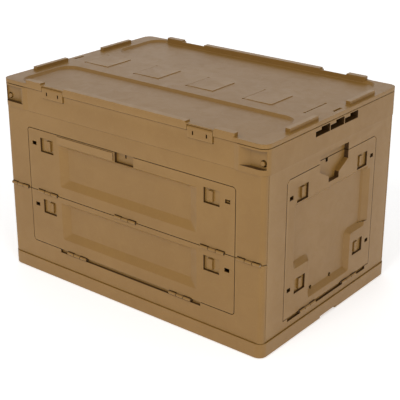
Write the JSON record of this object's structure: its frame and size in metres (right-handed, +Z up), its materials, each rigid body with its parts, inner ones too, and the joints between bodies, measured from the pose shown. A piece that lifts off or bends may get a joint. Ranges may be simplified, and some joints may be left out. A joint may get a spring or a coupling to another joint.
{
  "type": "collapsible storage crate",
  "caption": "Collapsible storage crate with a clip-down hinged lid, folding doors in both long walls, drop doors in both ends and end walls that swing in.",
  "frame": {"origin": "centre of the footprint, on the ground", "axes": "+X along the long walls towards the right end, +Y towards the back where the lid is hinged, +Z up"},
  "size_m": [0.532, 0.367, 0.3405],
  "materials": {
    "crate_plastic": "moulded, fine grain, satin",
    "pin_steel": "drawn wire"
  },
  "bodies": {
    "root": {"base_tray": "crate_plastic", "rim_frame": "crate_plastic", "front_lower_wall": "crate_plastic", "front_upper_wall": "crate_plastic", "front_wall_pins": "pin_steel", "front_door_bottom_pins": "pin_steel", "front_lower_fold_pins": "pin_steel", "front_upper_fold_pins": "pin_steel", "back_lower_wall": "crate_plastic", "back_upper_wall": "crate_plastic", "back_wall_pins": "pin_steel", "back_door_bottom_pins": "pin_steel", "back_lower_fold_pins": "pin_steel", "back_upper_fold_pins": "pin_steel", "back_left_clip": "crate_plastic", "back_right_clip": "crate_plastic", "back_clip_pins": "pin_steel", "right_end_wall_pins": "pin_steel", "left_end_wall_pins": "pin_steel"},
    "lid": {"lid": "crate_plastic", "front_clip_pins": "pin_steel"},
    "front_left_clip": {"front_left_clip": "crate_plastic"},
    "front_right_clip": {"front_right_clip": "crate_plastic"},
    "front_lower_door": {"front_lower_door": "crate_plastic", "front_door_mid_pins": "pin_steel"},
    "front_upper_door": {"front_upper_door": "crate_plastic"},
    "front_upper_left_latch": {"front_upper_left_latch": "crate_plastic"},
    "front_upper_right_latch": {"front_upper_right_latch": "crate_plastic"},
    "front_lower_left_latch": {"front_lower_left_latch": "crate_plastic"},
    "front_lower_right_latch": {"front_lower_right_latch": "crate_plastic"},
    "back_lower_door": {"back_lower_door": "crate_plastic", "back_door_mid_pins": "pin_steel"},
    "back_upper_door": {"back_upper_door": "crate_plastic"},
    "back_upper_left_latch": {"back_upper_left_latch": "crate_plastic"},
    "back_upper_right_latch": {"back_upper_right_latch": "crate_plastic"},
    "back_lower_left_latch": {"back_lower_left_latch": "crate_plastic"},
    "back_lower_right_latch": {"back_lower_right_latch": "crate_plastic"},
    "right_end_wall": {"right_end_wall": "crate_plastic", "right_door_pins": "pin_steel"},
    "right_end_door": {"right_end_door": "crate_plastic"},
    "right_upper_front_latch": {"right_upper_front_latch": "crate_plastic"},
    "right_upper_back_latch": {"right_upper_back_latch": "crate_plastic"},
    "right_lower_front_latch": {"right_lower_front_latch": "crate_plastic"},
    "right_lower_back_latch": {"right_lower_back_latch": "crate_plastic"},
    "left_end_wall": {"left_end_wall": "crate_plastic", "left_door_pins": "pin_steel"},
    "left_end_door": {"left_end_door": "crate_plastic"},
    "left_upper_front_latch": {"left_upper_front_latch": "crate_plastic"},
    "left_upper_back_latch": {"left_upper_back_latch": "crate_plastic"},
    "left_lower_front_latch": {"left_lower_front_latch": "crate_plastic"},
    "left_lower_back_latch": {"left_lower_back_latch": "crate_plastic"}
  },
  "joints": [
    {"name": "lid_hinge", "type": "hinge", "parent": "root", "child": "lid", "pos_m": [0, 0.1788, 0.3318], "axis": [-1, 0, 0], "range_deg": [0, 105]},
    {"name": "front_left_clip_hinge", "type": "hinge", "parent": "lid", "child": "front_left_clip", "pos_m": [-0.149, -0.1788, 0.3318], "axis": [-1, 0, 0], "range_deg": [0, 90]},
    {"name": "front_right_clip_hinge", "type": "hinge", "parent": "lid", "child": "front_right_clip", "pos_m": [0.149, -0.1788, 0.3318], "axis": [-1, 0, 0], "range_deg": [0, 90]},
    {"name": "front_door_hinge", "type": "hinge", "parent": "root", "child": "front_lower_door", "pos_m": [0, -0.1808, 0.055], "axis": [-1, 0, 0], "range_deg": [-100, 0]},
    {"name": "front_door_fold", "type": "hinge", "parent": "front_lower_door", "child": "front_upper_door", "pos_m": [0, -0.1808, 0.152], "axis": [1, 0, 0], "range_deg": [0, 175]},
    {"name": "front_upper_left_latch_slide", "type": "slide", "parent": "front_upper_door", "child": "front_upper_left_latch", "axis": [-1, 0, 0], "range_m": [0, 0.007]},
    {"name": "front_upper_right_latch_slide", "type": "slide", "parent": "front_upper_door", "child": "front_upper_right_latch", "axis": [1, 0, 0], "range_m": [0, 0.007]},
    {"name": "front_lower_left_latch_slide", "type": "slide", "parent": "front_lower_door", "child": "front_lower_left_latch", "axis": [-1, 0, 0], "range_m": [0, 0.007]},
    {"name": "front_lower_right_latch_slide", "type": "slide", "parent": "front_lower_door", "child": "front_lower_right_latch", "axis": [1, 0, 0], "range_m": [0, 0.007]},
    {"name": "back_door_hinge", "type": "hinge", "parent": "root", "child": "back_lower_door", "pos_m": [0, 0.1808, 0.055], "axis": [1, 0, 0], "range_deg": [-100, 0]},
    {"name": "back_door_fold", "type": "hinge", "parent": "back_lower_door", "child": "back_upper_door", "pos_m": [0, 0.1808, 0.152], "axis": [-1, 0, 0], "range_deg": [0, 175]},
    {"name": "back_upper_left_latch_slide", "type": "slide", "parent": "back_upper_door", "child": "back_upper_left_latch", "axis": [-1, 0, 0], "range_m": [0, 0.007]},
    {"name": "back_upper_right_latch_slide", "type": "slide", "parent": "back_upper_door", "child": "back_upper_right_latch", "axis": [1, 0, 0], "range_m": [0, 0.007]},
    {"name": "back_lower_left_latch_slide", "type": "slide", "parent": "back_lower_door", "child": "back_lower_left_latch", "axis": [-1, 0, 0], "range_m": [0, 0.007]},
    {"name": "back_lower_right_latch_slide", "type": "slide", "parent": "back_lower_door", "child": "back_lower_right_latch", "axis": [1, 0, 0], "range_m": [0, 0.007]},
    {"name": "right_end_wall_hinge", "type": "hinge", "parent": "root", "child": "right_end_wall", "pos_m": [0.2588, 0, 0.281], "axis": [0, -1, 0], "range_deg": [-88, 0]},
    {"name": "right_end_door_hinge", "type": "hinge", "parent": "right_end_wall", "child": "right_end_door", "pos_m": [0.2633, 0, 0.038], "axis": [0, 1, 0], "range_deg": [0, 95]},
    {"name": "right_upper_front_latch_slide", "type": "slide", "parent": "right_end_door", "child": "right_upper_front_latch", "axis": [0, -1, 0], "range_m": [0, 0.007]},
    {"name": "right_upper_back_latch_slide", "type": "slide", "parent": "right_end_door", "child": "right_upper_back_latch", "axis": [0, 1, 0], "range_m": [0, 0.007]},
    {"name": "right_lower_front_latch_slide", "type": "slide", "parent": "right_end_door", "child": "right_lower_front_latch", "axis": [0, -1, 0], "range_m": [0, 0.007]},
    {"name": "right_lower_back_latch_slide", "type": "slide", "parent": "right_end_door", "child": "right_lower_back_latch", "axis": [0, 1, 0], "range_m": [0, 0.007]},
    {"name": "left_end_wall_hinge", "type": "hinge", "parent": "root", "child": "left_end_wall", "pos_m": [-0.2588, 0, 0.281], "axis": [0, 1, 0], "range_deg": [-88, 0]},
    {"name": "left_end_door_hinge", "type": "hinge", "parent": "left_end_wall", "child": "left_end_door", "pos_m": [-0.2633, 0, 0.038], "axis": [0, -1, 0], "range_deg": [0, 95]},
    {"name": "left_upper_front_latch_slide", "type": "slide", "parent": "left_end_door", "child": "left_upper_front_latch", "axis": [0, -1, 0], "range_m": [0, 0.007]},
    {"name": "left_upper_back_latch_slide", "type": "slide", "parent": "left_end_door", "child": "left_upper_back_latch", "axis": [0, 1, 0], "range_m": [0, 0.007]},
    {"name": "left_lower_front_latch_slide", "type": "slide", "parent": "left_end_door", "child": "left_lower_front_latch", "axis": [0, -1, 0], "range_m": [0, 0.007]},
    {"name": "left_lower_back_latch_slide", "type": "slide", "parent": "left_end_door", "child": "left_lower_back_latch", "axis": [0, 1, 0], "range_m": [0, 0.007]}
  ]
}
